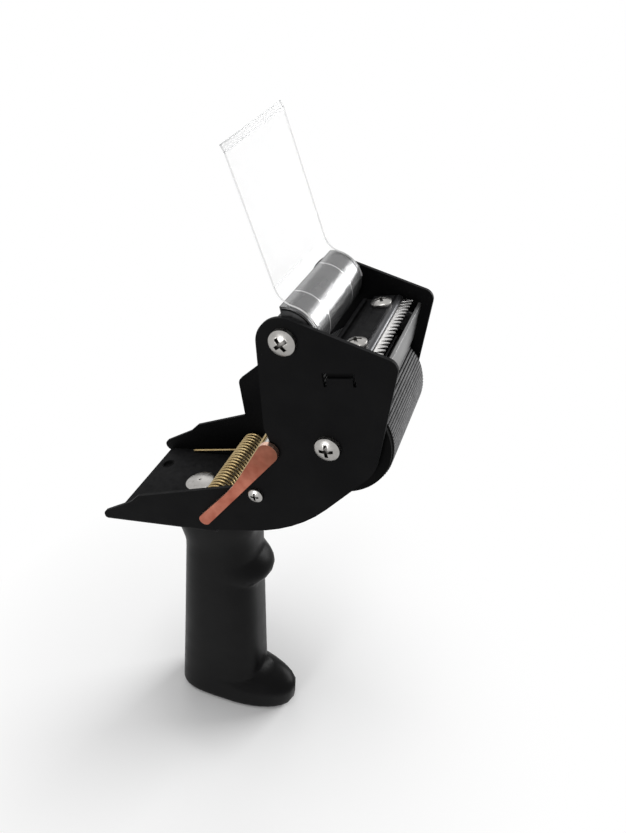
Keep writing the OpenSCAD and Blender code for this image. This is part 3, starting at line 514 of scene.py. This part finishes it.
def spring_path():
    """Middle line of the wire: floor leg, curls, and a lever leg that bends over the brake bar's rear."""
    curl = pivot + CURL_SHIFT
    hook_r = bar_d / 2 + HOOK_GAP + WIRE_D / 2
    leg_tip = Vector((pivot.x - LEG_REACH, 0, spring_low.z + WIRE_D / 2))
    floor_head = heading(leg_tip, 0, curl, CURL_R)
    lever_head = heading(curl, CURL_R, bar, -hook_r)
    first = floor_head - pi / 2
    last = 2 * pi * CURL_COUNT + lever_head - pi / 2
    steps = RINGS_PER_CURL * CURL_COUNT
    far = Vector((0, far_y, 0))
    near = Vector((0, hook_y, 0))
    path = [leg_tip + far, leg_tip + far + WIRE_D * direction(floor_head)]
    for k in range(steps + 1):
        share = k / steps
        path.append(curl + CURL_R * direction(first + (last - first) * share) + far.lerp(near, share))
    for k in range(HOOK_STEPS + 1):
        path.append(bar + hook_r * square_left(lever_head - HOOK_TURN * k / HOOK_STEPS) + near)
    path.append(path[-1] + WIRE_D * direction(lever_head - HOOK_TURN))
    return path


def tube(name, path, radius, sides):
    """Closed round tube along a path that never runs along Y for long."""
    mesh = bmesh.new()
    rings = []
    angles = [2 * pi * k / sides for k in range(sides)]
    for i, point in enumerate(path):
        along = (path[min(i + 1, len(path) - 1)] - path[max(i - 1, 0)]).normalized()
        side = along.cross(Vector((0, 1, 0))).normalized()
        up = side.cross(along)
        rings.append([mesh.verts.new(point + radius * (cos(a) * side + sin(a) * up)) for a in angles])
    for ring, after in zip(rings, rings[1:]):
        for k in range(sides):
            n = (k + 1) % sides
            mesh.faces.new((ring[k], ring[n], after[n], after[k]))
    mesh.faces.new(rings[0])
    mesh.faces.new(reversed(rings[-1]))
    return smooth_object(name, mesh)


spring = tube("spring_wire", spring_path(), WIRE_D / 2, WIRE_SIDES)
paint(spring, "yellow_zinc")
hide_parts("torsion_spring")
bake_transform(spring)


# Clear flap: a saddle over the hood, a fillet, an upright with a skewed top, and a bent lip

SADDLE_STEPS = 18
FILLET_STEPS = 10
UPRIGHT_STEPS = 20
LIP_STEPS = 4
FLAP_COLUMNS = 16


def flap_profile(y):
    """Middle line of the sheet and its outward normals, at one place across the width."""
    top_s = FLAP_HEIGHT + FLAP_SKEW * 2 * y / FLAP_WIDTH
    line = []
    touch = atan2(fillet_centre.z, fillet_centre.x)
    for k in range(SADDLE_STEPS + 1):
        angle = SADDLE_END + (touch - SADDLE_END) * k / SADDLE_STEPS
        line.append((flap_r * direction(angle), direction(angle)))
    fillet_turn = touch - (FLAP_LEAN - pi / 2)
    for k in range(1, FILLET_STEPS + 1):
        inward = direction(touch - fillet_turn * k / FILLET_STEPS)
        line.append((fillet_centre - FILLET_R * inward, inward))
    for k in range(1, UPRIGHT_STEPS + 1):
        s = fillet_rise + (top_s - fillet_rise) * k / UPRIGHT_STEPS
        line.append((flap_root + s * flap_up, flap_front))
    top = line[-1][0]
    for k in range(1, LIP_STEPS + 1):
        bend = FLAP_LEAN + LIP_BEND * min(1, 2 * k / LIP_STEPS)
        top = top + LIP_LENGTH / LIP_STEPS * direction(bend)
        line.append((top, -square_left(bend)))
    return [(hood_axis + point + Vector((0, y, 0)), normal) for point, normal in line]


def clear_flap():
    """The sheet as two skins joined along their rims."""
    across = [FLAP_WIDTH * (k / FLAP_COLUMNS - 0.5) for k in range(FLAP_COLUMNS + 1)]
    profiles = [flap_profile(y) for y in across]
    mesh = bmesh.new()
    skins = []
    for side in (1, -1):
        skins.append([[mesh.verts.new(p + side * FLAP_T / 2 * n) for p, n in line] for line in profiles])
    rows = len(profiles[0])
    for skin in skins:
        for left, right in zip(skin, skin[1:]):
            for k in range(rows - 1):
                mesh.faces.new((left[k], right[k], right[k + 1], left[k + 1]))
    outer, inner = skins
    for column in (0, -1):
        for k in range(rows - 1):
            mesh.faces.new((outer[column][k], outer[column][k + 1], inner[column][k + 1], inner[column][k]))
    for row in (0, -1):
        for k in range(FLAP_COLUMNS):
            mesh.faces.new((outer[k][row], outer[k + 1][row], inner[k + 1][row], inner[k][row]))
    piece = smooth_object("clear_flap", mesh)
    piece.data.set_sharp_from_angle(angle=SHARP_ANGLE)
    paint(piece, "clear_sheet")
    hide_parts("wiper_flap")
    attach(piece, "flap")


clear_flap()


# Floor, light and camera

FLOOR_REACH = 4.0
# Distances from the origin at which the shadow starts to fade and at which the floor is all backdrop
FADE_FROM = 0.04
FADE_TO = 0.18
AMBIENT = 0.4
LAMP_TARGET = Vector((0.02, 0, 0.17))
# Name, place, width, height and power
LAMPS = [
    ("key", (0.70, 0.80, 0.42), 0.75, 0.5, 12),
    ("rim", (-0.45, 0.78, 0.66), 0.45, 0.45, 0.6),
    ("top", (0.0, -0.1, 1.3), 0.5, 0.4, 3.2),
    ("fill", (-0.25, -1.05, 0.25), 0.35, 0.4, 4),
]


def seen_or_mirrored(nodes, links):
    """1 on rays from the camera, by way of gloss or glass too, and 0 on the rays that light the object."""
    rays = nodes.new("ShaderNodeLightPath")
    seen = rays.outputs["Is Camera Ray"]
    for kind in ("Is Glossy Ray", "Is Transmission Ray"):
        either = nodes.new("ShaderNodeMath")
        either.operation = "MAXIMUM"
        links.new(seen, either.inputs[0])
        links.new(rays.outputs[kind], either.inputs[1])
        seen = either.outputs[0]
    return seen


def floor():
    """Pale floor that keeps the shadow near the object and turns into the white backdrop further out."""
    mesh = bpy.data.meshes.new("studio_floor")
    corners = [(-1, -1), (1, -1), (1, 1), (-1, 1)]
    mesh.from_pydata([(FLOOR_REACH * x, FLOOR_REACH * y, 0) for x, y in corners], [], [(0, 1, 2, 3)])
    piece = bpy.data.objects.new("studio_floor", mesh)
    bpy.context.scene.collection.objects.link(piece)
    shader = Shader("studio_floor", (0.93, 0.93, 0.93), roughness=0.8, specular=0.0)
    nodes, links = shader.nodes, shader.links
    tone = shader.varied(3, 2, 0.0, 1.0)
    shader.link(shader.colours(tone, (0.925, 0.925, 0.925), (0.935, 0.935, 0.935)), "Base Color")
    distance = nodes.new("ShaderNodeVectorMath")
    distance.operation = "LENGTH"
    links.new(shader.place, distance.inputs[0])
    outside = shader.between(distance.outputs["Value"], FADE_FROM, FADE_TO, 0.0, 1.0)
    backdrop = nodes.new("ShaderNodeEmission")
    mix = nodes.new("ShaderNodeMixShader")
    links.new(shader.math("MULTIPLY", outside, seen_or_mirrored(nodes, links)), mix.inputs[0])
    links.new(shader.surface.outputs[0], mix.inputs[1])
    links.new(backdrop.outputs[0], mix.inputs[2])
    links.new(mix.outputs[0], nodes["Material Output"].inputs["Surface"])
    mesh.materials.append(shader.material)


def world():
    """White to the camera and in reflections, softer as light on the object."""
    sky = bpy.data.worlds.new("studio_world")
    sky.use_nodes = True
    nodes = sky.node_tree.nodes
    links = sky.node_tree.links
    seen = nodes["Background"]
    ambient = nodes.new("ShaderNodeBackground")
    for background, strength in ((seen, 1.0), (ambient, AMBIENT)):
        background.inputs["Color"].default_value = (1, 1, 1, 1)
        background.inputs["Strength"].default_value = strength
    mix = nodes.new("ShaderNodeMixShader")
    links.new(seen_or_mirrored(nodes, links), mix.inputs[0])
    links.new(ambient.outputs[0], mix.inputs[1])
    links.new(seen.outputs[0], mix.inputs[2])
    links.new(mix.outputs[0], nodes["World Output"].inputs["Surface"])
    bpy.context.scene.world = sky


def lamp(name, place, width, height, power):
    """Rectangular softbox that faces the object."""
    data = bpy.data.lights.new(name, "AREA")
    data.shape = "RECTANGLE"
    data.size = width
    data.size_y = height
    data.energy = power
    piece = bpy.data.objects.new(name, data)
    piece.location = place
    piece.rotation_euler = (LAMP_TARGET - Vector(place)).to_track_quat("-Z", "Y").to_euler()
    bpy.context.scene.collection.objects.link(piece)


def photo_camera():
    """The photograph's camera, worked out from its vanishing points and the frame's width."""
    data = bpy.data.cameras.new("photo_camera")
    focal_px = 675
    image_h_px = 833
    data.sensor_width = 36
    data.lens = focal_px / image_h_px * data.sensor_width
    data.clip_start = 0.01
    piece = bpy.data.objects.new("photo_camera", data)
    right = Vector((0.9417, 0.33646, 0))
    up = Vector((-0.19376, 0.54232, 0.81752))
    back = Vector((0.27506, -0.76986, 0.5759))
    place = Vector((117.77, -202.5, 348.4)) * MM
    piece.matrix_world = Matrix.Translation(place) @ Matrix((right, up, back)).transposed().to_4x4()
    bpy.context.scene.collection.objects.link(piece)
    bpy.context.scene.camera = piece


floor()
world()
for settings in LAMPS:
    lamp(*settings)
photo_camera()
bpy.context.scene.view_settings.view_transform = "Standard"
